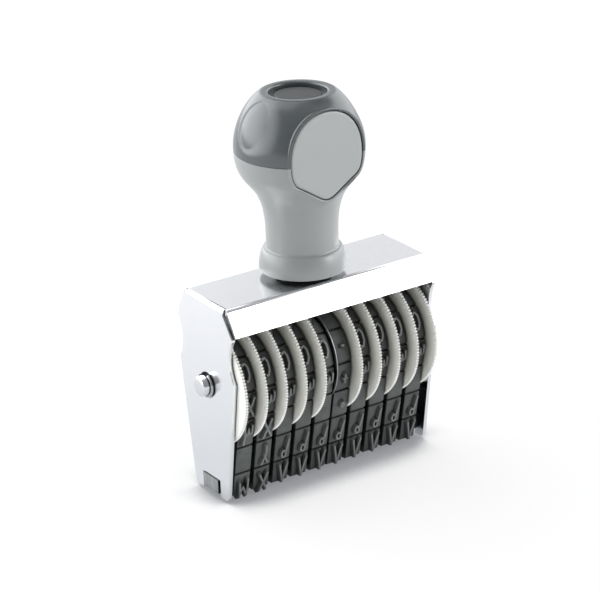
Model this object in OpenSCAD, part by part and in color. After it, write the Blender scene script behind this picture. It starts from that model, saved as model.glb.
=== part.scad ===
// Hand numbering machine: rubber type bands set by knurled thumbwheels in a
// bent sheet frame, pressed down by an upright knob handle.
// X runs along the axle, the front faces -Y, and the type faces stand on z = 0.

/* [Bands] */
// Number of bands on each side of the middle disc
per_side = 5; // [3:1:6]
// Width of one type band
band_w = 4; // [3:0.1:5]
// Distance of a band's type face from the axle's centre line, round the top of the loop
band_r = 11; // [10:0.1:12]
// Thickness of a band's base, under the type
base_t = 1.1; // [0.8:0.1:1.4]
// Height of the type above the base
relief = 0.9; // [0.6:0.1:1]
// Length of band given to one figure
type_pitch = 6.8; // [6:0.1:7.5]
// Width of the groove between two figures
groove_w = 0.6; // [0.4:0.1:1]
// Margin of bare base on each side of the type
type_margin = 0.25; // [0.1:0.05:0.5]
// Height of the axle above the type faces
axle_z = 26; // [24:0.5:30]
// Half depth of a band at its foot, over the type
band_foot = 6.5; // [6:0.1:7.5]
// Outside radius of the band where it turns round the foot of the platen
foot_r = 2.4; // [2.3:0.1:3]
// Height above the type faces of the lowest groove on the front
first_groove = 6.6; // [5:0.1:8]

/* [Thumbwheels] */
// Radius of a thumbwheel over its teeth
wheel_r = 13.5; // [12.5:0.1:14]
// Thickness of a thumbwheel's disc
wheel_t = 0.7; // [0.6:0.05:1]
// Number of teeth round the rim
teeth = 120; // [60:10:160]
// Depth of the teeth
tooth_h = 0.35; // [0.2:0.05:0.5]
// Gap between a disc and what stands beside it
side_gap = 0.15; // [0.1:0.05:0.4]
// Gap between a hub and the inside of its band
hub_gap = 0.26; // [0.2:0.02:0.4]
// Number of flutes along a hub
flutes = 20; // [12:1:24]
// Radius of one flute
flute_r = 0.6; // [0.3:0.05:0.8]
// Gap between the middle hubs' ends and the middle disc
end_gap = 0.3; // [0.2:0.05:0.5]

/* [Axle] */
// Radius of the axle
axle_r = 2.2; // [1.8:0.1:2.5]
// Clearance round the axle, in the hubs and in the cheeks
axle_fit = 0.05; // [0.03:0.01:0.08]
// Length of axle standing out of each cheek
axle_out = 2.3; // [1.8:0.1:3]
// Depth of the domed ends of the axle
dome_h = 0.5; // [0.3:0.1:0.8]
// Radius of the flat left in the middle of those ends
dome_flat = 1; // [0.6:0.1:1.2]
// Outside radius of the retaining clips
clip_r = 3.2; // [2.9:0.1:3.6]
// Thickness of the retaining clips
clip_t = 0.6; // [0.4:0.1:0.8]
// Depth of the grooves that hold the clips
clip_groove = 0.5; // [0.3:0.1:0.7]
// Width of the mouth of a clip
clip_mouth = 2.7; // [2.2:0.1:3]
// Radius of the notches that leave the clips springy
clip_notch = 0.55; // [0.3:0.05:0.6]

/* [Middle disc] */
// Radius of the thin steel disc between the two sets
mid_r = 11; // [9:0.5:12]
// Thickness of that disc
mid_t = 0.3; // [0.2:0.05:0.4]
// Space left for it between the two middle bands
mid_gap = 0.5; // [0.4:0.05:0.8]

/* [Frame] */
// Thickness of the frame's sheet
sheet_t = 0.8; // [0.6:0.1:0.9]
// Side play of the stack, all of it at the right cheek
end_play = 0.8; // [0.4:0.1:1.5]
// Clear height between the thumbwheels and the top plate
hood_gap = 5; // [4.6:0.1:7]
// Depth of the top plate, front to back, measured to its sharp corners
plate_depth = 16.1; // [15:0.1:18]
// Outside radius of the sheet's bends
bend_r = 1; // [1:0.1:1.4]
// Drop of the slanted hood below the top face
hood_drop = 5.4; // [4.5:0.1:6]
// Slant of the hood from the vertical, in degrees
hood_slant = 30; // [25:1:33]
// Distance of the hood's ends from the outside of the cheeks
hood_inset = 0.6; // [0.5:0.05:0.8]
// Distance of the cheeks' neck inside the top plate's edges
neck_inset = 0.85; // [0.5:0.05:1.2]
// Distance from the top face down to where the cheeks widen
neck_drop = 1.4; // [1.4:0.1:2]
// Half depth of the cheeks at their widest
cheek_half = 10.5; // [10:0.1:11.5]
// Half depth of the cheeks at the foot
foot_half = 6.3; // [5.5:0.1:7]
// Height of the cheeks' feet above the type faces
foot_lift = 0.6; // [0.4:0.1:1]
// Radius of the finger scoops in the cheeks' edges
scoop_r = 8.9; // [8:0.1:11]
// Depth of the finger scoops
scoop_depth = 1.5; // [1:0.1:1.8]
// Height of the scoops' middle above the axle
scoop_rise = 8.2; // [7.5:0.1:8.6]
// Radius of the rounded corners at the cheeks' feet
corner_r = 1.2; // [0.6:0.1:1.8]

/* [Platen] */
// Half width of the tenons that pass through the cheeks
tenon_half = 2.8; // [2:0.1:3.2]
// Height of the tenons
tenon_h = 3.1; // [2:0.1:3.6]
// Height of the tenons' underside above the type faces
tenon_z = 1.3; // [1:0.1:1.6]
// Length of tenon standing out of each cheek
tenon_out = 0.3; // [0.1:0.1:0.8]
// Room beside the tenons in the cheeks' notches
notch_gap = 0.6; // [0.2:0.1:0.8]
// Room above the tenons in the cheeks' notches
notch_room = 0.1; // [0.1:0.1:0.4]
// Gap between the platen and the thumbwheels above it
platen_gap = 0.9; // [0.5:0.1:1.5]
// Clearance between the platen and the inside of the bands
platen_fit = 0.05; // [0.03:0.01:0.1]
// Clearance between the platen's ribs and the inside of the bands
rib_gap = 0.15; // [0.1:0.05:0.3]
// Distance of a rib's sides inside the sides of its band
rib_inset = 0.3; // [0.2:0.05:0.5]
// Gap between a rib and the hub above it
rib_clear = 0.5; // [0.3:0.1:1]

/* [Handle] */
// Distance of the handle from the frame's middle, to the right
handle_x = -1.1; // [-1.5:0.1:1.5]
// Height of the seat ring that carries the handle
seat_h = 1.3; // [0.8:0.1:2]
// Outside radius of the seat ring
seat_r = 6; // [5:0.1:7]
// Radius of the collar at the handle's foot
collar_r = 9.45; // [9:0.05:10.5]
// Height of the collar
collar_h = 4.8; // [4:0.1:5.5]
// Length of straight neck above the collar
neck_h = 3.1; // [2:0.1:5]
// Radius of the neck
neck_r = 7.75; // [7:0.05:8.3]
// Radius of the knob at its widest
knob_r = 13.9; // [13.5:0.1:15]
// Height of the knob's widest place above the top plate
knob_rise = 28.5; // [26:0.1:31]
// Height of the parting line above the top plate
parting_rise = 27.8; // [25:0.1:28.4]
// Height of the whole handle above the top plate
handle_rise = 40.4; // [39:0.1:43]
// Distance of the flat front from the handle's axis
flat_y = 10.3; // [10:0.1:10.6]
// Half width of the front plate at its widest
shield_half = 8.95; // [8.4:0.05:9.1]
// Height of that widest place above the top plate
shield_rise = 28.2; // [27.5:0.1:28.8]
// Height of the front plate above its widest place
shield_up = 9.85; // [9.2:0.05:10]
// Depth of the front plate below its widest place, down to the blunt tip
shield_down = 9.25; // [8.5:0.05:9.6]
// Thickness of the front plate
plate_t = 1.2; // [0.8:0.1:1.6]
// Depth of the front plate below the rim round it
plate_sunk = 0.25; // [0.1:0.05:0.4]
// Width of the raised rim round the front plate
rim_w = 0.8; // [0.5:0.05:1]
// Width of the flat lip round the recess in the top
lip_w = 1.7; // [1.2:0.1:2]
// Radius of the round recess in the top
recess_r = 6.15; // [5.5:0.05:6.5]
// Depth of that recess
recess_h = 1.5; // [1:0.1:2]
// Radius of the disc laid in the recess
inset_r = 5; // [4:0.1:5.3]
// Thickness of that disc
inset_t = 0.8; // [0.5:0.1:0.9]
// Radius of the shallow thumb dishes on the knob's flanks
dish_r = 6; // [5:0.1:6.3]
// Depth of the thumb dishes
dish_h = 0.3; // [0.1:0.05:0.5]
// Direction of the thumb dishes, counted in degrees from the front
dish_turn = 79; // [70:1:90]
// Upward tilt of the thumb dishes, in degrees
dish_tilt = 34; // [25:1:36]
// Height of the thumb dishes' axes at the handle's middle, below the top
dish_drop = 12.8; // [12.4:0.1:13.2]
// Radius of the spigot that centres the cap on the body
spigot_r = 6; // [5:0.1:6.5]
// Height of that spigot
spigot_h = 4; // [3:0.1:5]

/* [Handle fixing] */
// Radius of the handle's screw
screw_r = 2; // [1.5:0.1:2.2]
// Length of screw inside the handle
screw_reach = 9.5; // [7:0.5:12]
// Radius of the screw's head
head_r = 3.6; // [3:0.1:4]
// Height of the screw's head
head_h = 2.2; // [1.6:0.1:2.4]
// Radius of the hexagon socket in the head, over its corners
socket_r = 1.7; // [1.4:0.1:1.9]
// Depth of that socket
socket_h = 1.3; // [0.8:0.1:1.4]
// Radius of the washer under the plate
washer_r = 4.6; // [4.2:0.1:5]
// Thickness of that washer
washer_t = 0.8; // [0.5:0.1:0.9]
// Outside radius of the threaded insert
insert_r = 3.3; // [3:0.1:3.8]
// Clearance round the screw in the top plate, the seat and the washer
hole_gap = 0.2; // [0.1:0.05:0.3]
// Clearance between pieces that are fitted together by hand
fit = 0.05; // [0.03:0.01:0.08]

/* [Hidden] */
$fn = 96;
band_t = base_t + relief;
slot_w = wheel_t + 2 * side_gap;
station = slot_w + band_w;
bands = 2 * per_side;
inner_w = bands * station + mid_gap + end_play;
frame_w = inner_w + 2 * sheet_t;
stack_x = -inner_w / 2;
right_x = stack_x + per_side * station + mid_gap;
frame_h = axle_z + wheel_r + hood_gap + sheet_t;
plate_half = plate_depth / 2;
hood_turn = 90 - hood_slant;
hood_y = plate_half - bend_r * tan(hood_turn / 2);
hood_len = (hood_drop - bend_r * (1 - sin(hood_slant))) / cos(hood_slant);
neck_half = plate_half - neck_inset;
scoop_z = axle_z + scoop_rise;
scoop_y = cheek_half - scoop_depth + scoop_r;
scoop_half = sqrt(pow(scoop_r, 2) - pow(scoop_r - scoop_depth, 2));
base_r = band_r - relief;
base_foot_r = foot_r - relief;
foot_flat = band_foot - foot_r;
lean_reach = norm([foot_flat, axle_z - foot_r]);
lean = asin((band_r - foot_r) / lean_reach) - atan2(foot_flat, axle_z - foot_r);
foot_turn = base_foot_r * (90 - lean) * PI / 180;
rise_len = sqrt(pow(lean_reach, 2) - pow(band_r - foot_r, 2));
rise_start = foot_flat + foot_turn;
rise_end = rise_start + rise_len;
half_loop = rise_end + base_r * (90 + lean) * PI / 180;
hub_r = band_r - band_t - hub_gap;
hub_len = side_gap + band_w + (mid_gap - mid_t) / 2 - end_gap;
bore_r = axle_r + axle_fit;
bar_top = axle_z - wheel_r - platen_gap;
rib_top = axle_z - hub_r - rib_clear;
notch_top = tenon_z + tenon_h + notch_room;
groove_r = axle_r - clip_groove;
neck_z = frame_h + seat_h + collar_h + neck_h;
parting_z = frame_h + parting_rise;
top_z = frame_h + handle_rise;
hole_r = screw_r + hole_gap;
// How far the control points of the rounded outlines lie along their stretches
dome_pull = 0.6;
collar_pull = 0.54;
neck_pull = 0.715;
knob_pull = [0.506, 0.383];
crown_pull = [0.44, 0.17];
// The front plate's outline as shares of its half width and of its height above or below its widest
// place: its top, its lower corner and its tip, with a straight edge between the last two
shield_top_share = [[0, 1], [0.62, 1], [1, 0.58], [1, 0]];
shield_corner_share = [[1, 0], [1, -0.314], [0.916, -0.465], [0.827, -0.524]];
shield_tip_share = [[0.179, -0.925], [0.1, -0.973], [0.056, -1], [0, -1]];
// Depth to which the raised rim is rooted in the knob
rim_root = 2;
// Depth to which cutters and joined solids run on past a face
past = 1;
overlap = 0.01;
// Depth by which a straight run lies inside the arcs that it joins
tuck = 0.005;

function two(i) = str(i < 10 ? "0" : "", i);
function is_left(i) = i <= per_side;
function band_x(i) = is_left(i)
    ? stack_x + (i - 1) * station + slot_w + band_w / 2
    : right_x + (i - 1 - per_side) * station + band_w / 2;
function wheel_x(i) = is_left(i)
    ? stack_x + (i - 1) * station + slot_w / 2
    : right_x + (i - 1 - per_side) * station + band_w + slot_w / 2;

// Half depth of a band's sloping front at height z, drawn inside its type faces by the given depth
function front_y(z, depth) = (band_r - depth - (axle_z - z) * sin(lean)) / cos(lean);

// The place [y, z, direction] on a band's base at length s from the middle of its foot
function loop_at(s) =
    s < foot_flat ? [s, relief, -90]
    : s < rise_start ?
        let (a = (s - foot_flat) * 180 / (PI * base_foot_r) - 90)
        [foot_flat + base_foot_r * cos(a), foot_r + base_foot_r * sin(a), a]
    : s < rise_end ?
        let (z = foot_r - base_foot_r * sin(lean) + (s - rise_start) * cos(lean))
        [front_y(z, relief), z, -lean]
    : let (a = (s - rise_end) * 180 / (PI * base_r) - lean)
        [base_r * cos(a), axle_z + base_r * sin(a), a];

// A point on the cubic curve with the four control points p
function curve_at(p, t) =
    pow(1 - t, 3) * p[0] + 3 * pow(1 - t, 2) * t * p[1]
    + 3 * (1 - t) * pow(t, 2) * p[2] + pow(t, 3) * p[3];

// The curve as a list of n points, its last point left out
function curve(p, n) = [for (k = [0:n - 1]) curve_at(p, k / n)];

// Points of a round corner of radius r at p, between the points before and after it
function corner(before, p, after, r, n = 6) =
    let (
        a = (before - p) / norm(before - p),
        b = (after - p) / norm(after - p),
        half = acos(a * b) / 2,
        middle = p + (a + b) / norm(a + b) * r / sin(half),
        start = atan2((p + a * r / tan(half) - middle)[1], (p + a * r / tan(half) - middle)[0]),
        end = atan2((p + b * r / tan(half) - middle)[1], (p + b * r / tan(half) - middle)[0]),
        sweep = end - start > 180 ? end - start - 360 : end - start < -180 ? end - start + 360 : end - start
    )
    [for (k = [0:n]) middle + r * [cos(start + sweep * k / n), sin(start + sweep * k / n)]];

// Turns an outline drawn as (y, z) so that it is extruded along X, centred on x
module along_x(x, length) {
    translate([x - length / 2, 0, 0])
        rotate([90, 0, 90])
            linear_extrude(length) children();
}

// ---- frame ----

// A box open at the bottom, with its two upper corners rounded
module arch_2d(width, height, r) {
    translate([-width / 2, 0])
        square([width, height - r]);
    translate([-width / 2 + r, 0])
        square([width - 2 * r, height]);
    for (side = [-1, 1])
        translate([side * (width / 2 - r), height - r])
            circle(r);
}

// One side's outline in (y, z), its slanted shoulders and tapering foot
module cheek_2d() {
    foot = [foot_half, foot_lift];
    shoulder = [cheek_half, scoop_z - scoop_half];
    foot_corner = corner(shoulder, foot, [0, foot_lift], corner_r);
    half = concat(
        [[neck_half, frame_h], [neck_half, frame_h - neck_drop], [cheek_half, scoop_z + scoop_half], shoulder],
        foot_corner);
    last = len(half) - 1;
    difference() {
        polygon(concat(half, [for (k = [0:last]) [-half[last - k][0], half[last - k][1]]]));
        for (side = [-1, 1])
            translate([side * scoop_y, scoop_z])
                circle(scoop_r);
        translate([0, axle_z])
            circle(bore_r);
        translate([-tenon_half - notch_gap, 0])
            square([2 * (tenon_half + notch_gap), notch_top]);
    }
}

// The bend and the slanted leaf of the hood in (y, z), on the +Y side; the bend
// reaches a little way into the plate and the leaf, so that the three are one sheet
module hood_2d() {
    lap = 3;
    reach = 2 * bend_r;
    translate([hood_y, frame_h - bend_r])
        intersection() {
            difference() {
                circle(bend_r);
                circle(bend_r - sheet_t);
            }
            polygon([[0, 0], reach * [-sin(lap), cos(lap)], [reach, reach],
                     reach * [cos(hood_slant - lap), sin(hood_slant - lap)]]);
        }
    translate([hood_y + bend_r * cos(hood_slant), frame_h - bend_r + bend_r * sin(hood_slant)])
        rotate(hood_slant)
            translate([-sheet_t, -hood_len])
                square([sheet_t, hood_len]);
}

module frame() {
    color([0.86, 0.87, 0.89])
    difference() {
        union() {
            intersection() {
                translate([0, cheek_half, 0])
                    rotate([90, 0, 0])
                        linear_extrude(2 * cheek_half)
                            difference() {
                                arch_2d(frame_w, frame_h, bend_r);
                                translate([0, -past])
                                    arch_2d(inner_w, frame_h - sheet_t + past, bend_r - sheet_t);
                            }
                along_x(0, frame_w)
                    cheek_2d();
            }
            for (turn = [0, 180])
                rotate([0, 0, turn]) {
                    along_x(0, frame_w - 2 * hood_inset)
                        hood_2d();
                    along_x(0, frame_w - 2 * bend_r)
                        translate([0, frame_h - sheet_t])
                            square([hood_y, sheet_t]);
                }
        }
        translate([handle_x, 0, frame_h - sheet_t - past])
            cylinder(r = hole_r, h = sheet_t + 2 * past);
    }
}

// ---- axle and clips ----

// The rounded edge of one end of the axle as (radius, z), from its flat outwards
function dome(half) =
    let (edge = half - sign(half) * dome_h)
    [for (k = [0:6]) curve_at([[dome_flat, half], [dome_flat + (axle_r - dome_flat) * dome_pull, half],
                               [axle_r, half - (half - edge) * (1 - dome_pull)], [axle_r, edge]], k / 6)];

module axle() {
    half = frame_w / 2 + axle_out;
    upper = dome(half);
    slit = clip_t + 2 * fit;
    color([0.8, 0.81, 0.83])
    translate([0, 0, axle_z])
        rotate([0, 90, 0])
            difference() {
                rotate_extrude()
                    polygon(concat([[0, -half]], dome(-half), [for (k = [0:6]) upper[6 - k]], [[0, half]]));
                for (z = [frame_w / 2, -frame_w / 2 - slit])
                    translate([0, 0, z])
                        difference() {
                            cylinder(r = axle_r + past, h = slit);
                            translate([0, 0, -past])
                                cylinder(r = groove_r, h = slit + 2 * past);
                        }
            }
}

// A spring clip: a ring that is open at the bottom and notched inside
module axle_clip(side) {
    color([0.45, 0.46, 0.48])
    translate([side > 0 ? frame_w / 2 + fit : -frame_w / 2 - fit - clip_t, 0, axle_z])
        rotate([90, 0, 90])
            linear_extrude(clip_t)
                difference() {
                    circle(clip_r);
                    circle(groove_r + fit);
                    translate([-clip_mouth / 2, -clip_r - past])
                        square([clip_mouth, clip_r + past]);
                    for (a = [35, 145])
                        rotate(a)
                            translate([groove_r + clip_notch / 2, 0])
                                circle(clip_notch);
                }
}

module axle_clip_left() {
    axle_clip(-1);
}

module axle_clip_right() {
    axle_clip(1);
}

// ---- platen ----

// The sloping sides that a band and the platen share, from the foot up to height top
module wedge_2d(depth, top) {
    r = foot_r - depth;
    half = [[foot_flat, depth], [foot_flat + (r - tuck) * cos(lean), foot_r - (r - tuck) * sin(lean)],
            [front_y(top, depth + tuck), top]];
    polygon(concat(half, [for (k = [2:-1:0]) [-half[k][0], half[k][1]]]));
    for (side = [-1, 1])
        translate([side * foot_flat, foot_r])
            circle(r);
}

// A rib's outline in (y, z), between the two runs of its band
module rib_2d() {
    low = bar_top - past;
    half = [front_y(low, band_t + rib_gap), front_y(rib_top, band_t + rib_gap)];
    polygon([[-half[0], low], [half[0], low], [half[1], rib_top], [-half[1], rib_top]]);
}

// A tenon on +X, joined to the bar that ends at x = bar_end; under the bar it stays clear of the band
module tenon(bar_end) {
    bar_low = band_t + platen_fit;
    tip = frame_w / 2 + tenon_out;
    translate([0, tenon_half, 0])
        rotate([90, 0, 0])
            linear_extrude(2 * tenon_half)
                polygon([[bar_end - past, bar_low], [bar_end, bar_low], [bar_end, tenon_z], [tip, tenon_z],
                         [tip, tenon_z + tenon_h], [bar_end - past, tenon_z + tenon_h]]);
}

module platen() {
    bar = [band_x(1) - band_w / 2 - side_gap, band_x(bands) + band_w / 2 + side_gap];
    color([0.55, 0.57, 0.58])
    union() {
        along_x((bar[0] + bar[1]) / 2, bar[1] - bar[0])
            wedge_2d(band_t + platen_fit, bar_top);
        for (i = [1:bands])
            along_x(band_x(i), band_w - 2 * rib_inset)
                rib_2d();
        tenon(bar[1]);
        mirror([1, 0, 0])
            tenon(-bar[0]);
    }
}

module middle_disc() {
    color([0.82, 0.83, 0.85])
    translate([right_x - mid_gap / 2 - mid_t / 2, 0, axle_z])
        rotate([0, 90, 0])
            difference() {
                cylinder(r = mid_r, h = mid_t);
                translate([0, 0, -past])
                    cylinder(r = bore_r, h = mid_t + 2 * past);
            }
}

// ---- thumbwheels ----

// A knurled disc with a fluted hub that stands inside its band
module thumbwheel(i) {
    color([0.93, 0.93, 0.88])
    translate([wheel_x(i), 0, axle_z])
        mirror([is_left(i) ? 0 : 1, 0, 0])
            rotate([0, 90, 0])
                difference() {
                    union() {
                        translate([0, 0, -wheel_t / 2])
                            linear_extrude(wheel_t)
                                polygon([for (k = [0:2 * teeth - 1])
                                    let (r = k % 2 == 0 ? wheel_r : wheel_r - tooth_h, a = 180 * k / teeth)
                                    [r * cos(a), r * sin(a)]]);
                        difference() {
                            cylinder(r = hub_r, h = wheel_t / 2 + hub_len);
                            for (k = [0:flutes - 1])
                                rotate(360 * k / flutes)
                                    translate([hub_r, 0, wheel_t / 2])
                                        cylinder(r = flute_r, h = hub_len + past, $fn = 24);
                        }
                    }
                    translate([0, 0, -wheel_t / 2 - past])
                        cylinder(r = bore_r, h = wheel_t + hub_len + 2 * past);
                }
}

// ---- type bands ----

// The loop in (y, z), drawn inside its type faces by the given depth
module loop_2d(depth) {
    translate([0, axle_z])
        circle(band_r - depth);
    wedge_2d(depth, axle_z - (band_r - depth) * sin(lean));
}

// The grooves that part the figures, all the way round the loop
module grooves_2d() {
    start = rise_start + (first_groove - foot_r + base_foot_r * sin(lean)) / cos(lean);
    rows = round((half_loop - base_r * PI / 2 - start) / type_pitch);
    crown = start + rows * type_pitch;
    arcs = round(2 * (half_loop - crown) / type_pitch);
    lengths = concat([type_pitch / 2], [for (k = [0:rows]) start + k * type_pitch],
                     [for (k = [1:floor(arcs / 2)]) crown + 2 * (half_loop - crown) * k / arcs]);
    for (side = [0, 1], s = lengths)
        let (place = loop_at(s))
        mirror([side, 0])
            translate([place[0], place[1]])
                rotate(place[2])
                    translate([relief, 0])
                        square([2 * relief, groove_w], center = true);
}

// A rubber loop round the platen and its hub, with raised type
module type_band(i) {
    color([0.27, 0.28, 0.29])
    union() {
        along_x(band_x(i), band_w)
            difference() {
                loop_2d(relief);
                loop_2d(band_t);
            }
        along_x(band_x(i), band_w - 2 * type_margin)
            difference() {
                loop_2d(0);
                loop_2d(relief + overlap);
                grooves_2d();
            }
    }
}

// ---- handle ----

// The handle's turned outline as (radius, z), drawn inside its skin by the given depth
function handle_points(depth) =
    let (
        foot_z = frame_h + seat_h,
        collar_z = foot_z + collar_h,
        knob_z = frame_h + knob_rise,
        rise = knob_z - neck_z,
        crown = top_z - knob_z,
        lip_r = recess_r + lip_w,
        points = concat(
            curve([[collar_r, foot_z], [collar_r, foot_z + collar_h * collar_pull],
                   [(neck_r + collar_r) / 2, collar_z], [neck_r, collar_z]], 8),
            [[neck_r, collar_z]],
            curve([[neck_r, neck_z], [neck_r, neck_z + rise * neck_pull], [knob_r, knob_z - rise * knob_pull[0]],
                   [knob_r, knob_z]], 16),
            curve([[knob_r, knob_z], [knob_r, knob_z + crown * knob_pull[1]],
                   [knob_r - (knob_r - lip_r) * crown_pull[0], top_z - crown * crown_pull[1]], [lip_r, top_z]], 16),
            [[lip_r, top_z]])
    )
    [for (p = points) [p[0] - depth, p[1]]];

// The whole handle as one turned solid, drawn inside its skin by the given depth
module handle_form(depth = 0) {
    translate([handle_x, 0, 0])
        rotate_extrude()
            polygon(concat([[0, frame_h + seat_h]], handle_points(depth), [[0, top_z]]));
}

// Right half of the front plate's outline, from its top down to its tip, grown outwards by g
function shield_points(g) =
    let (
        tip = [for (p = shield_tip_share) [p[0] * shield_half, p[1] * shield_down]],
        side = [for (p = shield_corner_share) [p[0] * shield_half, p[1] * shield_down]],
        edge = (side[3] - tip[0]) / norm(side[3] - tip[0]),
        out = g * [edge[1], -edge[0]]
    )
    concat(
        curve([for (p = shield_top_share) [p[0] * (shield_half + g), p[1] * (shield_up + g)]], 8),
        curve([side[0] + [g, 0], side[1] + [g, 0], side[2] + out, side[3] + out], 6),
        [side[3] + out],
        curve([tip[0] + out, tip[1] + out, tip[2] - [0, g], tip[3] - [0, g]], 4),
        [tip[3] - [0, g]]);

// A block with the front plate's outline, grown by g, between two distances in front of the axis
module shield(g, near, far) {
    half = shield_points(g);
    last = len(half) - 1;
    translate([handle_x, -near, frame_h + shield_rise])
        rotate([90, 0, 0])
            linear_extrude(far - near)
                polygon(concat(half, [for (k = [1:last - 1]) [-half[last - k][0], half[last - k][1]]]));
}

// The handle's form with the raised rim that surrounds the front plate
module rimmed_form() {
    handle_form();
    shield(rim_w, flat_y - rim_root, flat_y + past);
}

// The flat front and the pocket for its plate, taken out of the handle
module front_cut() {
    translate([handle_x - knob_r, -flat_y - knob_r, neck_z])
        cube([2 * knob_r, knob_r, top_z - neck_z + past]);
    shield(fit, flat_y - plate_sunk - plate_t, flat_y + past);
}

// Bore for the insert and the screw's end, and the spigot that centres the cap
module handle_body() {
    color([0.66, 0.67, 0.67])
    difference() {
        union() {
            intersection() {
                rimmed_form();
                translate([handle_x - 2 * knob_r, -2 * knob_r, 0])
                    cube([4 * knob_r, 4 * knob_r, parting_z]);
            }
            translate([handle_x, 0, parting_z - past])
                cylinder(r = spigot_r, h = spigot_h + past);
        }
        front_cut();
        translate([handle_x, 0, frame_h])
            cylinder(r = insert_r + fit, h = seat_h + screw_reach + past);
    }
}

module handle_cap() {
    color([0.33, 0.35, 0.36])
    difference() {
        intersection() {
            rimmed_form();
            translate([handle_x - 2 * knob_r, -2 * knob_r, parting_z])
                cube([4 * knob_r, 4 * knob_r, handle_rise]);
        }
        front_cut();
        translate([handle_x, 0, parting_z - past])
            cylinder(r = spigot_r + fit, h = spigot_h + fit + past);
        translate([handle_x, 0, top_z - recess_h])
            cylinder(r = recess_r, h = recess_h + past);
        for (side = [-1, 1])
            difference() {
                translate([handle_x, 0, top_z - dish_drop])
                    rotate([90 - dish_tilt, 0, side * dish_turn])
                        cylinder(r = dish_r, h = 2 * knob_r);
                handle_form(dish_h);
            }
    }
}

module front_plate() {
    color([0.7, 0.71, 0.71])
    shield(0, flat_y - plate_sunk - plate_t, flat_y - plate_sunk);
}

module top_disc() {
    color([0.5, 0.51, 0.52])
    translate([handle_x, 0, top_z - recess_h])
        cylinder(r = inset_r, h = inset_t);
}

module handle_seat() {
    color([0.2, 0.2, 0.21])
    translate([handle_x, 0, frame_h])
        difference() {
            cylinder(r = seat_r, h = seat_h);
            translate([0, 0, -past])
                cylinder(r = hole_r, h = seat_h + 2 * past);
        }
}

module handle_insert() {
    color([0.75, 0.62, 0.3])
    translate([handle_x, 0, frame_h + seat_h])
        difference() {
            cylinder(r = insert_r, h = screw_reach);
            translate([0, 0, -past])
                cylinder(r = screw_r + fit, h = screw_reach + 2 * past);
        }
}

module handle_screw() {
    under = frame_h - sheet_t - washer_t;
    color([0.6, 0.61, 0.63])
    translate([handle_x, 0, under])
        difference() {
            union() {
                translate([0, 0, -head_h])
                    cylinder(r = head_r, h = head_h);
                cylinder(r = screw_r, h = washer_t + sheet_t + seat_h + screw_reach);
            }
            translate([0, 0, -head_h - past])
                cylinder(r = socket_r, h = socket_h + past, $fn = 6);
        }
}

module screw_washer() {
    color([0.7, 0.71, 0.73])
    translate([handle_x, 0, frame_h - sheet_t - washer_t])
        difference() {
            cylinder(r = washer_r, h = washer_t);
            translate([0, 0, -past])
                cylinder(r = hole_r, h = washer_t + 2 * past);
        }
}

frame();
axle();
axle_clip_left();
axle_clip_right();
platen();
middle_disc();
for (i = [1:bands])
    thumbwheel(i);
for (i = [1:bands])
    type_band(i);
handle_body();
handle_cap();
front_plate();
top_disc();
handle_seat();
handle_insert();
handle_screw();
screw_washer();
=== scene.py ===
import bmesh
import bpy
import math
from mathutils import Matrix, Vector


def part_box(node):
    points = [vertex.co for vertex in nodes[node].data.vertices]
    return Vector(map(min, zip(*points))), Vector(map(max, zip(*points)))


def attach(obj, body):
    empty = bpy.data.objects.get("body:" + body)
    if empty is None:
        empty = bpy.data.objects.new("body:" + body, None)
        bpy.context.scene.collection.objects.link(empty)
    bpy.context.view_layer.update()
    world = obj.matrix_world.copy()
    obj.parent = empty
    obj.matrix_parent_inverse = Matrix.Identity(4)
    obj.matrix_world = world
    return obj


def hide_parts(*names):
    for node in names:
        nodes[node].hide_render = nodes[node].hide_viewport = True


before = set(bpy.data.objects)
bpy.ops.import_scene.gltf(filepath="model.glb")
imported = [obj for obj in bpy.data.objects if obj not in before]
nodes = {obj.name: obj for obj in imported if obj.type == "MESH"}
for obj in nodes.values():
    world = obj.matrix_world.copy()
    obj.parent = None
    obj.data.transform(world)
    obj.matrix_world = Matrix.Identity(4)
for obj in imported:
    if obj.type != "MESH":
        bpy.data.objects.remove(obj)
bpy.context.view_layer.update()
mm = 0.001


def nodeBox(name):
    # lowest and highest corner of a node, in mm
    low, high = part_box(name)
    return low / mm, high / mm


def axleHeight():
    low, high = nodeBox("axle")
    return (low.z + high.z) / 2


def cheekOutside():
    return nodeBox("frame")[1].x


def frameTop():
    return nodeBox("frame")[1].z


def bezier(a, b, c, d, count):
    # count + 1 points along a cubic curve, both ends included
    points = []
    for k in range(count + 1):
        t = k / count
        weights = ((1 - t) ** 3, 3 * (1 - t) ** 2 * t, 3 * (1 - t) * t * t, t ** 3)
        points.append(tuple(sum(w * p[i] for w, p in zip(weights, (a, b, c, d))) for i in (0, 1)))
    return points


def smoothStep(low, high, value):
    t = min(1.0, max(0.0, (value - low) / (high - low)))
    return t * t * (3 - 2 * t)


def addPiece(name, mesh, material, body, replaced=()):
    # mesh is a bmesh in millimetres; it becomes an object in metres that rides on a body
    bmesh.ops.scale(mesh, vec=(mm, mm, mm), verts=mesh.verts)
    bmesh.ops.recalc_face_normals(mesh, faces=mesh.faces)
    data = bpy.data.meshes.new(name)
    mesh.to_mesh(data)
    mesh.free()
    for each in material if isinstance(material, tuple) else (material,):
        data.materials.append(each)
    piece = bpy.data.objects.new(name, data)
    bpy.context.scene.collection.objects.link(piece)
    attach(piece, body)
    if replaced:
        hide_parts(*replaced)
    return piece


def shadeByAngle(mesh, degrees):
    # faces shade smoothly except across edges sharper than the angle
    limit = math.radians(degrees)
    for face in mesh.faces:
        face.smooth = True
    for edge in mesh.edges:
        edge.smooth = len(edge.link_faces) == 2 and edge.calc_face_angle(0) < limit


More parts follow.
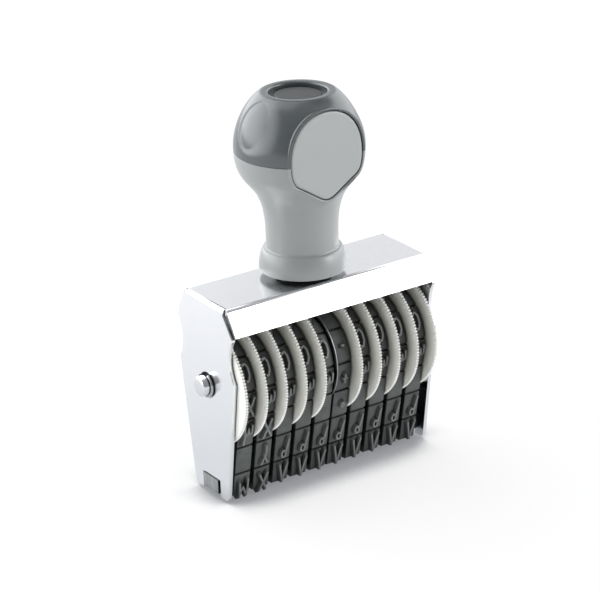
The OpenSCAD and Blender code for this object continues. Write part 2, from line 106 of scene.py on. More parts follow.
def bridge(mesh, first, second):
    # the faces between two closed rings of as many points
    faces = []
    for k in range(len(first)):
        after = (k + 1) % len(first)
        faces.append(mesh.faces.new((first[k], first[after], second[after], second[k])))
    return faces


def mirrored(side):
    # the other half of a profile, from its middle on
    return [(r, -z) for r, z in reversed(side)]


def revolve(profile, steps, x=0.0):
    # profile is a list of (radius, z) in mm that starts and ends on the axis, or ends where it starts
    mesh = bmesh.new()
    turns = [2 * math.pi * k / steps for k in range(steps)]
    rings = []
    for radius, z in profile:
        spots = [(0, 0)]
        if radius > 1e-6:
            spots = [(radius * math.sin(a), -radius * math.cos(a)) for a in turns]
        rings.append([mesh.verts.new((x + across, y, z)) for across, y in spots])
    for low, high in zip(rings, rings[1:]):
        if len(low) == len(high):
            bridge(mesh, low, high)
            continue
        for k in range(steps):
            after = (k + 1) % steps
            if len(low) == 1:
                mesh.faces.new((low[0], high[after], high[k]))
            else:
                mesh.faces.new((low[k], low[after], high[0]))
    return mesh


def turnOnAxle(profile, steps, x=0.0, side=1):
    # a turned piece about the axle; profile is a list of (radius, distance from x to that side)
    mesh = revolve(profile, steps)
    bmesh.ops.remove_doubles(mesh, verts=mesh.verts, dist=1e-5)
    turn = Matrix.Rotation(side * math.pi / 2, 3, "Y")
    bmesh.ops.rotate(mesh, verts=mesh.verts, cent=(0, 0, 0), matrix=turn)
    bmesh.ops.translate(mesh, verts=mesh.verts, vec=(x, 0, axleHeight()))
    return mesh


def startMaterial(name, colour, roughness, metallic=0.0):
    material = bpy.data.materials.new(name)
    material.use_nodes = True
    tree = material.node_tree
    shader = tree.nodes["Principled BSDF"]
    shader.inputs["Base Color"].default_value = (*colour, 1)
    shader.inputs["Roughness"].default_value = roughness
    shader.inputs["Metallic"].default_value = metallic
    return material, tree, shader


def objectCoords(tree, stretch=(1, 1, 1)):
    coords = tree.nodes.new("ShaderNodeTexCoord")
    mapping = tree.nodes.new("ShaderNodeMapping")
    mapping.inputs["Scale"].default_value = stretch
    tree.links.new(coords.outputs["Object"], mapping.inputs["Vector"])
    return mapping.outputs["Vector"]


def noise(tree, coords, size, detail=4.0):
    # size is the width of a grain in mm
    grain = tree.nodes.new("ShaderNodeTexNoise")
    grain.inputs["Scale"].default_value = 1 / (size * mm)
    grain.inputs["Detail"].default_value = detail
    tree.links.new(coords, grain.inputs["Vector"])
    return grain.outputs["Fac"]


def remap(tree, value, low, high, outLow=0, outHigh=1):
    ramp = tree.nodes.new("ShaderNodeMapRange")
    for key, number in (("From Min", low), ("From Max", high), ("To Min", outLow), ("To Max", outHigh)):
        ramp.inputs[key].default_value = number
    tree.links.new(value, ramp.inputs["Value"])
    return ramp.outputs["Result"]


def mixColours(tree, factor, first, second):
    # each of the two is a socket or a colour
    mix = tree.nodes.new("ShaderNodeMix")
    mix.data_type = "RGBA"
    tree.links.new(factor, mix.inputs["Factor"])
    for socket, colour in ((mix.inputs["A"], first), (mix.inputs["B"], second)):
        if hasattr(colour, "is_linked"):
            tree.links.new(colour, socket)
        else:
            socket.default_value = (*colour, 1)
    return mix.outputs["Result"]


def calculate(tree, operation, first, second):
    # first is a socket, second a socket or a number
    node = tree.nodes.new("ShaderNodeMath")
    node.operation = operation
    tree.links.new(first, node.inputs[0])
    if hasattr(second, "is_linked"):
        tree.links.new(second, node.inputs[1])
    else:
        node.inputs[1].default_value = second
    return node.outputs[0]


def vectorNode(tree, operation, vector, other=None, output="Value"):
    node = tree.nodes.new("ShaderNodeVectorMath")
    node.operation = operation
    tree.links.new(vector, node.inputs[0])
    if other:
        node.inputs[1].default_value = other
    return node.outputs[output]


def bump(tree, shader, height, depth):
    # depth is the height of the relief in mm
    node = tree.nodes.new("ShaderNodeBump")
    node.inputs["Strength"].default_value = 1
    node.inputs["Distance"].default_value = depth * mm
    tree.links.new(height, node.inputs["Height"])
    tree.links.new(node.outputs["Normal"], shader.inputs["Normal"])


def openness(tree, span):
    # 0 in narrow places and 1 on open surfaces, the mask of painted shade; span is the reach in mm and the
    # two limits of the ramp
    reach, low, high = span
    node = tree.nodes.new("ShaderNodeAmbientOcclusion")
    node.samples = 8
    node.inputs["Distance"].default_value = reach * mm
    return remap(tree, node.outputs["AO"], low, high)


def paintCornerShade(tree, shader, openColour, narrow, span):
    # the first colour is that of open surfaces, narrow the painted shade in corners and gaps
    colour = mixColours(tree, openness(tree, span), narrow, openColour)
    tree.links.new(colour, shader.inputs["Base Color"])


def roughen(tree, shader, grain, limits, smooth, rough):
    tree.links.new(remap(tree, grain, *limits, smooth, rough), shader.inputs["Roughness"])


def chromeMaterial():
    # corner is the painted shade in the sheet's corners and folds
    look = {"colour": (0.93, 0.935, 0.95), "cloud": (0.89, 0.9, 0.92), "cloudSize": 9,
            "corner": (0.1, 0.1, 0.11), "cornerSpan": (1.2, 0.48, 0.8),
            "smooth": 0.17, "hazy": 0.21, "scratchSize": 1.2, "scratchRange": (0.4, 0.75),
            "scratchStretch": (1, 1, 0.05), "rippleSize": 7, "ripple": 0.004}
    material, tree, shader = startMaterial("chromedSheet", look["colour"], look["smooth"], 1.0)
    coords = objectCoords(tree)
    openColour = mixColours(tree, noise(tree, coords, look["cloudSize"]), look["colour"], look["cloud"])
    paintCornerShade(tree, shader, openColour, look["corner"], look["cornerSpan"])
    fine = noise(tree, objectCoords(tree, look["scratchStretch"]), look["scratchSize"], 6)
    roughen(tree, shader, fine, look["scratchRange"], look["smooth"], look["hazy"])
    bump(tree, shader, noise(tree, coords, look["rippleSize"], 1), look["ripple"])
    return material


def steelMaterial(name, colour, roughness, spread):
    # corner is the painted shade in corners and grooves
    look = {"grain": 0.5, "grainRange": (0.3, 0.7), "depth": 0.003,
            "corner": (0.02, 0.02, 0.02), "cornerSpan": (1.0, 0.45, 0.85)}
    material, tree, shader = startMaterial(name, colour, roughness, 1.0)
    paintCornerShade(tree, shader, colour, look["corner"], look["cornerSpan"])
    grain = noise(tree, objectCoords(tree), look["grain"])
    roughen(tree, shader, grain, look["grainRange"], roughness, roughness + spread)
    bump(tree, shader, grain, look["depth"])
    return material


def castMaterial():
    # corner is the painted shade in corners and notches
    look = {"colour": (0.42, 0.43, 0.43), "dark": (0.3, 0.31, 0.31), "roughness": 0.42, "metallic": 0.85,
            "streak": 0.6, "streakRange": (0.35, 0.65), "streakStretch": (1, 1, 0.12),
            "grain": 0.25, "depth": 0.02, "corner": (0.01, 0.01, 0.01), "cornerSpan": (3, 0.4, 0.9)}
    colour, roughness = look["colour"], look["roughness"]
    material, tree, shader = startMaterial("castPlaten", colour, roughness, look["metallic"])
    streaks = noise(tree, objectCoords(tree, look["streakStretch"]), look["streak"], 3)
    openColour = mixColours(tree, remap(tree, streaks, *look["streakRange"]), look["dark"], colour)
    paintCornerShade(tree, shader, openColour, look["corner"], look["cornerSpan"])
    bump(tree, shader, noise(tree, objectCoords(tree), look["grain"]), look["depth"])
    return material


def nylonMaterial(name, innerRadius, rimRadius):
    # painted shade, darker towards the axle where the neighbouring wheels and bands block the light: the
    # radii in mm say where it starts and ends; gap is the painted shade in narrow gaps such as the teeth's
    # roots
    look = {"colour": (0.93, 0.93, 0.9), "warm": (0.91, 0.91, 0.84), "inner": (0.34, 0.35, 0.27),
            "cloudSize": 6, "cloudRange": (0.35, 0.7), "roughness": 0.34, "grain": 0.3, "depth": 0.004,
            "gap": (0.25, 0.25, 0.22), "gapSpan": (0.5, 0.45, 0.85),
            "glow": 0.12, "glowRadius": (1.0, 1.0, 0.8), "glowReach": 0.8}
    material, tree, shader = startMaterial(name, look["colour"], look["roughness"])
    coords = objectCoords(tree)
    clouds = remap(tree, noise(tree, coords, look["cloudSize"], 2), *look["cloudRange"])
    openColour = mixColours(tree, clouds, look["colour"], look["warm"])
    # the inner colour is painted shade that fades out from the axle to the rim
    across = vectorNode(tree, "MULTIPLY", coords, (0, 1, 1), "Vector")
    away = vectorNode(tree, "DISTANCE", across, (0, 0, axleHeight() * mm))
    outward = remap(tree, away, innerRadius * mm, rimRadius * mm)
    paintCornerShade(tree, shader, mixColours(tree, outward, look["inner"], openColour), look["gap"], look["gapSpan"])
    shader.inputs["Subsurface Weight"].default_value = look["glow"]
    shader.inputs["Subsurface Radius"].default_value = look["glowRadius"]
    shader.inputs["Subsurface Scale"].default_value = look["glowReach"] * mm
    bump(tree, shader, noise(tree, coords, look["grain"]), look["depth"])
    return material


def rubberMaterial(name, colour, pale, deepShadeShare):
    # the last argument is the share of the colour left as painted shade down between the thumbwheels, where
    # they block the light
    # crease is the painted shade in creases, and deepSpan is how far the painted shade between the
    # thumbwheels reaches
    look = {"roughness": 0.42, "dry": 0.6, "patch": 2.2, "patchRange": (0.35, 0.75),
            "grain": 0.12, "depth": 0.012,
            "crease": (0.008, 0.009, 0.008), "creaseSpan": (0.8, 0.4, 0.92), "deepSpan": (6, 0.33, 0.66)}
    material, tree, shader = startMaterial(name, colour, look["roughness"])
    coords = objectCoords(tree)
    patches = remap(tree, noise(tree, coords, look["patch"]), *look["patchRange"])
    upper = mixColours(tree, patches, colour, pale)
    # painted shade: the colour darkens where the thumbwheels close in round the band
    lower = tuple(deepShadeShare * part for part in colour)
    openColour = mixColours(tree, openness(tree, look["deepSpan"]), lower, upper)
    paintCornerShade(tree, shader, openColour, look["crease"], look["creaseSpan"])
    roughen(tree, shader, patches, (0, 1), look["roughness"], look["dry"])
    bump(tree, shader, noise(tree, coords, look["grain"], 2), look["depth"])
    return material


def plasticMaterial(name, colour, shade, roughness, gloss=0.9, orangePeel=0.006, creased=0.4):
    # orangePeel is the height of the moulded surface's waves in mm, creased the share of colour left as
    # painted shade in corners
    look = {"cloudSize": 12, "peelSize": 0.8, "speckSize": 0.15, "speckRange": (0.3, 0.7), "spread": 0.06,
            "creaseSpan": (0.5, 0.35, 0.85)}
    material, tree, shader = startMaterial(name, colour, roughness)
    shader.inputs["Specular IOR Level"].default_value = gloss
    coords = objectCoords(tree)
    openColour = mixColours(tree, noise(tree, coords, look["cloudSize"], 2), colour, shade)
    paintCornerShade(tree, shader, openColour, tuple(creased * part for part in colour), look["creaseSpan"])
    specks = noise(tree, coords, look["speckSize"], 2)
    roughen(tree, shader, specks, look["speckRange"], roughness, roughness + look["spread"])
    bump(tree, shader, noise(tree, coords, look["peelSize"], 1), orangePeel)
    return material


# colour, roughness and how much the roughness varies
polishedSteel = steelMaterial("polishedSteel", (0.8, 0.81, 0.83), 0.1, 0.1)
springSteel = steelMaterial("springSteel", (0.5, 0.51, 0.52), 0.16, 0.12)
discSteel = steelMaterial("discSteel", (0.42, 0.43, 0.43), 0.28, 0.15)
zincSteel = steelMaterial("zincSteel", (0.66, 0.67, 0.7), 0.3, 0.15)
brass = steelMaterial("insertBrass", (0.72, 0.55, 0.25), 0.3, 0.15)
chrome = chromeMaterial()
castMetal = castMaterial()
# the radii of the painted shade towards the axle; the first wheel's copy has less of it, as no neighbouring
# wheel shades it
ivoryNylon = nylonMaterial("ivoryNylon", 9.2, 12.7)
lessShadedNylon = nylonMaterial("lessShadedNylon", 3.0, 8.0)
# colour, paler colour of its patches, and the share of colour left as painted shade deep down
typeRubber = rubberMaterial("typeRubber", (0.08, 0.087, 0.083), (0.12, 0.13, 0.124), 0.15)
# a paler copy of the same rubber for the strokes' tops and rounded edges, painted lighter as lit
litStrokeRubber = rubberMaterial("litStrokeRubber", (0.18, 0.193, 0.186), (0.23, 0.245, 0.237), 0.36)
# colour, colour of its clouds, roughness
lightPlastic = plasticMaterial("lightGreyPlastic", (0.29, 0.306, 0.302), (0.32, 0.336, 0.332), 0.28)
darkPlastic = plasticMaterial("darkGreyPlastic", (0.07, 0.08, 0.084), (0.085, 0.096, 0.1), 0.2)
platePlastic = plasticMaterial("platePlastic", (0.37, 0.39, 0.38), (0.4, 0.42, 0.41), 0.34, 0.9, 0.004, 0.9)
discPlastic = plasticMaterial("discPlastic", (0.03, 0.033, 0.035), (0.042, 0.046, 0.048), 0.36, 0.42, 0.004)
# near-black rubber of the seat under the collar, made this dark partly as painted shade under the collar;
# the ring in the axle's hole uses it as painted shade
blackRubberAndShade = plasticMaterial("blackRubberAndShade", (0.006, 0.006, 0.007), (0.01, 0.01, 0.011), 0.7, 0.15)
print("materials made")


# the material of each node that keeps its shape, and the width in mm of its rounded edges
dressings = {"frame": (chrome, 0.1), "platen": (castMetal, 0.08),
             "handle_seat": (blackRubberAndShade, 0.1), "handle_insert": (brass, 0),
             "handle_screw": (zincSteel, 0.1), "screw_washer": (zincSteel, 0.08)}
edgeSizes = {"angle": 35, "segments": 2}  # edges sharper than so many degrees are rounded


def roundEdges(piece, width):
    weld = piece.modifiers.new("weld", "WELD")
    weld.merge_threshold = 1e-6
    bevel = piece.modifiers.new("edges", "BEVEL")
    bevel.width = width * mm
    bevel.segments = edgeSizes["segments"]
    bevel.limit_method = "ANGLE"
    bevel.angle_limit = math.radians(edgeSizes["angle"])
    bevel.harden_normals = True
    bevel.use_clamp_overlap = True


def dressNode(name):
    material, rounding = dressings[name]
    for slot in nodes[name].material_slots:
        slot.material = material
    if rounding:
        roundEdges(nodes[name], rounding)


for nodeName in dressings:
    dressNode(nodeName)
print("carried-over pieces dressed")


axleSizes = {"radius": 2.2, "dome": 0.5, "flat": 1.0, "groove": 1.7, "grooveWidth": 0.7,
             "round": 0.08, "steps": 96}


def makeAxle():
    size = axleSizes
    half, cheek = nodeBox("axle")[1].x, cheekOutside()
    radius, edge = size["radius"], size["round"]
    pull = 0.6 * (radius - size["flat"])
    grooveEnd = cheek + size["grooveWidth"]
    side = [(0, half)]
    side += bezier((size["flat"], half), (size["flat"] + pull, half), (radius, half - 0.4 * size["dome"]),
                   (radius, half - size["dome"]), 10)
    side += [(radius, grooveEnd + edge), (radius - edge, grooveEnd), (size["groove"], grooveEnd),
             (size["groove"], cheek), (radius - edge, cheek), (radius, cheek - edge)]
    mesh = turnOnAxle(side + mirrored(side), size["steps"])
    shadeByAngle(mesh, 40)
    addPiece("axleShaft", mesh, polishedSteel, "chassis", ("axle",))


discSizes = {"bore": 2.25, "rim": 0.24, "taper": 1.4, "round": 0.06, "steps": 160}


def makeMiddleDisc():
    # the thin steel disc between the two halves of the stack, thinner towards its rim
    size = discSizes
    low, high = nodeBox("middle_disc")
    radius, half = (high.z - low.z) / 2, (high.x - low.x) / 2
    rim, edge = size["rim"] / 2, size["round"]
    side = [(size["bore"], half), (radius - size["taper"], half),
            (radius - edge, rim), (radius, rim - edge)]
    profile = side + mirrored(side)
    mesh = turnOnAxle(profile + [profile[0]], size["steps"], (low.x + high.x) / 2)
    shadeByAngle(mesh, 30)
    addPiece("middleDisc", mesh, discSteel, "chassis", ("middle_disc",))


boreShadeSizes = {"inner": 2.2, "outer": 2.78, "proud": 0.04, "sunk": 0.3, "steps": 72}


def makeBoreShade(side, sideName):
    # a black ring on the cheek round the axle, painted shade that stands in for the dark inside of the
    # axle's hole
    size = boreShadeSizes
    front, back = cheekOutside() + size["proud"], cheekOutside() - size["sunk"]
    profile = [(size["inner"], front), (size["outer"], front), (size["outer"], back), (size["inner"], back)]
    mesh = turnOnAxle(profile + [profile[0]], size["steps"], 0, side)
    shadeByAngle(mesh, 40)
    addPiece("axleBoreShade" + sideName, mesh, blackRubberAndShade, "chassis")


# the mouth and its turn from straight up are in degrees
clipSizes = {"outer": 2.8, "inner": 1.72, "mouth": 76, "mouthTurn": -16, "round": 0.14, "steps": 72}


def makeClip(sideName):
    # a flat open ring in the axle's groove
    size = clipSizes
    node = "axle_clip_" + sideName.lower()
    low, high = nodeBox(node)
    middle = axleHeight()
    inner, outer, edge = size["inner"], size["outer"], size["round"]
    section = [(inner, low.x), (outer - edge, low.x), (outer - 0.3 * edge, low.x + 0.3 * edge),
               (outer, low.x + edge), (outer, high.x - edge), (outer - 0.3 * edge, high.x - 0.3 * edge),
               (outer - edge, high.x), (inner, high.x)]
    mesh = bmesh.new()
    start = math.radians(size["mouthTurn"] + size["mouth"] / 2)
    sweep = math.radians(360 - size["mouth"])
    rings = []
    for k in range(size["steps"] + 1):
        a = start + sweep * k / size["steps"]
        rings.append([mesh.verts.new((x, -r * math.sin(a), middle + r * math.cos(a))) for r, x in section])
    for first, second in zip(rings, rings[1:]):
        bridge(mesh, first, second)
    mesh.faces.new(rings[0])
    mesh.faces.new(rings[-1])
    bmesh.ops.recalc_face_normals(mesh, faces=mesh.faces)
    shadeByAngle(mesh, 50)
    addPiece("axleClip" + sideName, mesh, springSteel, "chassis", (node,))


makeAxle()
makeMiddleDisc()
for clipSide, clipName in ((-1, "Left"), (1, "Right")):
    makeClip(clipName)
    makeBoreShade(clipSide, clipName)
print("axle, disc and clips made")


# samples are points per tooth, toothPower shapes the gaps, rimSlope is the chamfer's depth over its width
wheelSizes = {"teeth": 120, "samples": 8, "toothDepth": 0.42, "toothPower": 1.4,
              "chamfer": 0.1, "rimSlope": 1.6, "thickness": 0.7, "bore": 2.25,
              "hub": 8.74, "flutes": 20, "fluteDepth": 0.6, "fluteWidth": 0.6}


def hubRadius(angle):
    # the hub's wall, scooped by evenly spaced flutes
    size = wheelSizes
    pitch = 2 * math.pi / size["flutes"]
    away = abs((angle + pitch / 2) % pitch - pitch / 2) * size["hub"]
    if away >= size["fluteWidth"]:
        return size["hub"]
    return size["hub"] - size["fluteDepth"] * math.sqrt(1 - (away / size["fluteWidth"]) ** 2)


def toothRadius(outer, angle):
    size = wheelSizes
    share = (angle * size["teeth"] / (2 * math.pi)) % 1
    return outer - size["toothDepth"] * abs(math.sin(math.pi * share)) ** size["toothPower"]


def makeWheel(index):
    # the disc stands on the outer side of its band and the hub reaches inwards
    size = wheelSizes
    node = "thumbwheel_%02d" % index
    low, high = nodeBox(node)
    face, hubEnd, side = (low.x, high.x, 1) if index <= 5 else (high.x, low.x, -1)
    outer, middle = (high.z - low.z) / 2, (low.z + high.z) / 2
    inner = face + side * size["thickness"]
    cut = size["chamfer"]
    drawn = size["rimSlope"] * cut
    sections = [
        (face, lambda a: size["bore"]),
        (face, lambda a: toothRadius(outer, a) - drawn),
        (face + side * cut, lambda a: toothRadius(outer, a)),
        (inner - side * cut, lambda a: toothRadius(outer, a)),
        (inner, lambda a: toothRadius(outer, a) - drawn),
        (inner, hubRadius),
        (hubEnd, hubRadius),
        (hubEnd, lambda a: size["bore"])]
    steps = size["teeth"] * size["samples"]
    angles = [2 * math.pi * k / steps for k in range(steps)]
    mesh = bmesh.new()
    rings = []
    for x, radiusAt in sections:
        spots = [(radiusAt(a), a) for a in angles]
        rings.append([mesh.verts.new((x, r * math.cos(a), middle + r * math.sin(a))) for r, a in spots])
    for first, second in zip(rings, rings[1:] + rings[:1]):
        bridge(mesh, first, second)
    bmesh.ops.recalc_face_normals(mesh, faces=mesh.faces)
    shadeByAngle(mesh, 38)
    # the first wheel gets the copy with less painted shade
    nylon = lessShadedNylon if index == 1 else ivoryNylon
    addPiece("thumbwheel%02d" % index, mesh, nylon, "wheel_%02d" % index, (node,))


for wheelIndex in range(1, 11):
    makeWheel(wheelIndex)
print("thumbwheels made")


# the loop over its type, its grooves, and the strokes of the figures; a figure's unit is (across, up) in mm
bandSizes = {"radius": 11.0, "foot": 1.6, "footHalf": 6.357, "axle": 26.0, "relief": 0.9, "base": 1.1,
             "width": 4.0, "pitch": 6.8, "firstGroove": 6.6, "innerInset": 0.05, "step": 0.6,
             "grooveDepth": 0.35, "grooveHalf": 0.18, "grooveSlope": 0.14, "waist": 0.22,
             "corner": 0.2, "side": 0.25, "unit": (0.33, 0.54), "strokeTop": 0.42, "strokeFoot": 1.15,
             "strokeEdge": 0.08, "strokeSunk": 0.12, "strokeStep": 0.5, "strokeMargin": 0.02,
             "endReach": 0.05, "endDrop": 0.1, "endWidth": 0.8}


def loopShape():
    # the slope of the front, and the lengths along the base from the middle of the foot to where
    # each stretch ends: flat, foot corner, sloping run, crown
    size = bandSizes
    flat = size["footHalf"] - size["foot"]
    rise = size["axle"] - size["foot"]
    spread = size["radius"] - size["foot"]
    reach = math.hypot(flat, rise)
    lean = math.asin(spread / reach) - math.atan2(flat, rise)
    turned = flat + (size["foot"] - size["relief"]) * (math.pi / 2 - lean)
    risen = turned + math.sqrt(reach ** 2 - spread ** 2)
    half = risen + (size["radius"] - size["relief"]) * (math.pi / 2 + lean)
    return lean, flat, turned, risen, half


def loopPoint(s, height):
    # (y, z) at length s along the base, from the middle of the foot up the front, and at a height above it
    size = bandSizes
    lean, flat, turned, risen, half = loopShape()
    s = s % (2 * half)
    atBack = s > half
    if atBack:
        s = 2 * half - s
    foot = size["foot"] - size["relief"]
    crown = size["radius"] - size["relief"]
    if s < flat:
        y, z = s, size["relief"] - height
    elif s < turned:
        angle = (s - flat) / foot - math.pi / 2
        y, z = flat + (foot + height) * math.cos(angle), size["foot"] + (foot + height) * math.sin(angle)
    elif s < risen:
        y = flat + (foot + height) * math.cos(lean) + (s - turned) * math.sin(lean)
        z = size["foot"] - (foot + height) * math.sin(lean) + (s - turned) * math.cos(lean)
    else:
        angle = (s - risen) / crown - lean
        y, z = (crown + height) * math.cos(angle), size["axle"] + (crown + height) * math.sin(angle)
    return (y if atBack else -y), z


def grooveStations():
    # lengths of the grooves between the figures, all the way round, and the length of the loop
    size = bandSizes
    lean, flat, turned, risen, half = loopShape()
    foot = size["foot"] - size["relief"]
    crown = size["radius"] - size["relief"]
    start = turned + (size["firstGroove"] - size["foot"] + foot * math.sin(lean)) / math.cos(lean)
    rows = round((half - crown * math.pi / 2 - start) / size["pitch"])
    front = [start + row * size["pitch"] for row in range(rows + 1)]
    arcs = round(2 * (half - front[-1]) / size["pitch"])
    arc = 2 * (half - front[-1]) / arcs
    top = [front[-1] + arc * k for k in range(1, arcs)]
    back = [2 * half - s for s in reversed(front)]
    return [size["pitch"] / 2] + front + top + back + [2 * half - size["pitch"] / 2], 2 * half


def bandRings(total, grooves):
    # lengths at which the base gets a ring, each with its share of the groove's depth
    size = bandSizes
    narrow, wide = size["grooveHalf"], size["grooveHalf"] + size["grooveSlope"]
    rings = []
    for here, after in zip(grooves, grooves[1:] + [grooves[0] + total]):
        rings += [(here - narrow, 1.0), (here + narrow, 1.0), (here + wide, 0.0)]
        count = max(1, round((after - here - 2 * wide) / size["step"]))
        for k in range(1, count):
            rings.append((here + wide + (after - here - 2 * wide) * k / count, 0.0))
        rings.append((after - wide, 0.0))
    return rings


def makeBase(mesh, x, total, grooves):
    size = bandSizes
    corner, inner = size["corner"], size["width"] / 2 - size["innerInset"]
    rings = []
    for s, depth in bandRings(total, grooves):
        half = size["width"] / 2 - size["waist"] * depth
        sunk = -size["grooveDepth"] * depth
        right = [(half - corner, sunk), (half - 0.35 * corner, sunk - 0.35 * corner), (half, sunk - corner),
                 (half, sunk - corner - size["side"]), (inner, -size["base"])]
        section = [(-across, height) for across, height in reversed(right)] + right
        ring = []
        for across, height in section:
            y, z = loopPoint(s, height)
            ring.append(mesh.verts.new((x + across, y, z)))
        rings.append(ring)
    for first, second in zip(rings, rings[1:] + rings[:1]):
        bridge(mesh, first, second)


def arcPoints(x, y, radius, start, end, count=10):
    angles = [math.radians(start + (end - start) * k / count) for k in range(count + 1)]
    return [(x + radius * math.cos(a), y + radius * math.sin(a)) for a in angles]


# strokes of the figures, as seen on the front: across from -5 to 5, up from 0 to 10
figures = {
    "zero": [arcPoints(0, 5, 0.9, 0, 360)],
    "one": [[(1.2, 0.6), (0.6, 3.5), (-0.6, 7.0), (-1.8, 9.3)]],
    "two": [[(1.6, 0.6), (0.9, 3.6), (-0.9, 9.2)],
            [(-0.9, 9.2), (-2.2, 7.4), (0.2, 6.2), (2.6, 7.8), (2.9, 9.4)]],
    "three": [[(-3.0, 0.6), (-2.2, 4.0), (-2.6, 9.2)], [(-2.5, 6.4), (-0.4, 4.4), (0.4, 8.0)],
              [(0.4, 8.0), (1.0, 5.0), (3.0, 5.6), (3.2, 9.2)]],
    "four": [[(-3.2, 0.8), (0.2, 5.0), (3.2, 9.4)], [(3.2, 0.8), (-0.2, 5.2), (-3.0, 9.2)]],
    "five": [arcPoints(0, 4.2, 2.7, -35, 215, 16) + [(0, 0.9)] + arcPoints(0, 4.2, 2.7, -35, -35, 1)],
    "six": [[(-2.8, 0.8), (-1.4, 3.4), (1.0, 5.4), (2.6, 9.2)], [(1.0, 5.4), (-1.6, 6.0), (-2.6, 9.0)]],
    "seven": [[(-3.2, 0.6), (-1.3, 5.2), (0, 9.4)], [(3.2, 0.6), (1.3, 5.2), (0, 9.4)]],
    "eight": [[(-2.6, 10.9), (-1.2, 6.5), (0, 2.2)], [(3.4, 10.9), (2.2, 8.5), (0.9, 5.3), (0, 2.2)]],
    "nine": [arcPoints(-0.5, 2.5, 1.5, 0, 360, 16), [(0.9, 2.9), (1.6, 5.0), (2.3, 7.0), (3.1, 9.5)]],
    "plus": [[(0, 3.0), (0, 7.0)], [(-1.6, 5.0), (1.6, 5.0)]],
    "minus": [[(-1.0, 5.0), (1.0, 5.0)]],
    "hook": [[(-1.9, 8.4), (0.4, 9.0), (1.8, 7.4), (1.7, 4.6), (0.2, 2.6), (-1.6, 2.4)]],
    "wedge": [[(-2.6, 0.6), (-0.4, 4.0), (2.2, 1.0)], [(-0.4, 4.0), (0.6, 6.4), (0.4, 9.4)]],
    "crest": [[(-3.0, 0.2), (-2.6, 3.0), (-3.0, 8.2)], [(-2.9, 2.6), (-0.6, 6.2), (2.4, 1.2)],
              [(2.4, 1.2), (3.0, 5.0), (3.2, 9.2)]],
    "blank": []}

# figures from the foot up the front and round to the foot again, and the bands that differ from the usual
upperOrder = ["one", "two", "three", "four", "five", "six"]
usualOrder = ["seven", "eight", "nine", "blank", "three", "hook", "six"] + upperOrder
bandOrders = {1: ["blank", "crest", "blank", "three", "four", "hook"] + ["blank"] * 7,
              2: ["four", "four", "wedge", "four", "three", "hook", "blank"] + upperOrder,
              6: ["seven", "eight", "nine", "zero", "plus", "minus", "blank"] + upperOrder}


def strokeRails(line, closed):
    # the direction across the stroke at each of its points
    rails = []
    count = len(line)
    for k, point in enumerate(line):
        before = line[(k - 1) % count] if closed or k else point
        after = line[(k + 1) % count] if closed or k < count - 1 else point
        along = (Vector(after) - Vector(before)).normalized()
        rails.append(Vector((-along.y, along.x)))
    return rails


def refine(line, step):
    # shorter stretches, so that the strokes follow the curve of the loop
    points = [line[0]]
    for before, after in zip(line, line[1:]):
        count = max(1, math.ceil((Vector(after) - Vector(before)).length / step))
        points += [tuple(Vector(before).lerp(Vector(after), k / count)) for k in range(1, count + 1)]
    return points


def strokeSection():
    # (across, height) from foot to foot: sloping sides, rounded edges and a narrow flat top
    size = bandSizes
    top, foot = size["strokeTop"] / 2, size["strokeFoot"] / 2
    edge, relief = size["strokeEdge"], size["relief"]
    right = [(top - edge, relief), (top + 0.4 * edge, relief - edge), (foot, -size["strokeSunk"])]
    return [(-across, height) for across, height in reversed(right)] + right


def strokeEnd(point, neighbour, rail):
    # (across, up, height) of an open stroke's end, which slopes down past its last point
    size = bandSizes
    out = (Vector(point) - Vector(neighbour)).normalized()
    spots = []
    for side, height in strokeSection():
        reach = size["endReach"] if height > 0 else (size["strokeFoot"] - size["strokeTop"]) / 2
        spot = Vector(point) + rail * side * size["endWidth"] + out * reach
        spots.append((spot.x, spot.y, height - (size["endDrop"] if height > size["relief"] - 0.01 else 0)))
    return spots


def strokeRing(mesh, x, middle, spots):
    limit = bandSizes["width"] / 2 - bandSizes["strokeMargin"]
    ring = []
    for across, up, height in spots:
        y, z = loopPoint(middle + up, height)
        ring.append(mesh.verts.new((x + max(-limit, min(limit, across)), y, z)))
    return ring


def makeStroke(mesh, line, x, middle):
    size = bandSizes
    wide, tall = size["unit"]
    closed = (Vector(line[0]) - Vector(line[-1])).length < 1e-6
    points = refine([(u * wide, (v - 5) * tall) for u, v in line], size["strokeStep"])
    if closed:
        points = points[:-1]
    rails = strokeRails(points, closed)
    rings = []
    for (px, py), rail in zip(points, rails):
        spots = [(px + rail.x * side, py + rail.y * side, height) for side, height in strokeSection()]
        rings.append(strokeRing(mesh, x, middle, spots))
    if closed:
        rings.append(rings[0])
    else:
        rings.insert(0, strokeRing(mesh, x, middle, strokeEnd(points[0], points[1], rails[0])))
        rings.append(strokeRing(mesh, x, middle, strokeEnd(points[-1], points[-2], rails[-1])))
        mesh.faces.new(rings[0][::-1]).material_index = 1
        mesh.faces.new(rings[-1]).material_index = 1
    for first, second in zip(rings, rings[1:]):
        for k, face in enumerate(bridge(mesh, first, second)):
            face.material_index = 0 if k in (1, 2, 3) else 1  # top and rounded edges get the paler rubber, painted as lit, and the slopes the darker one


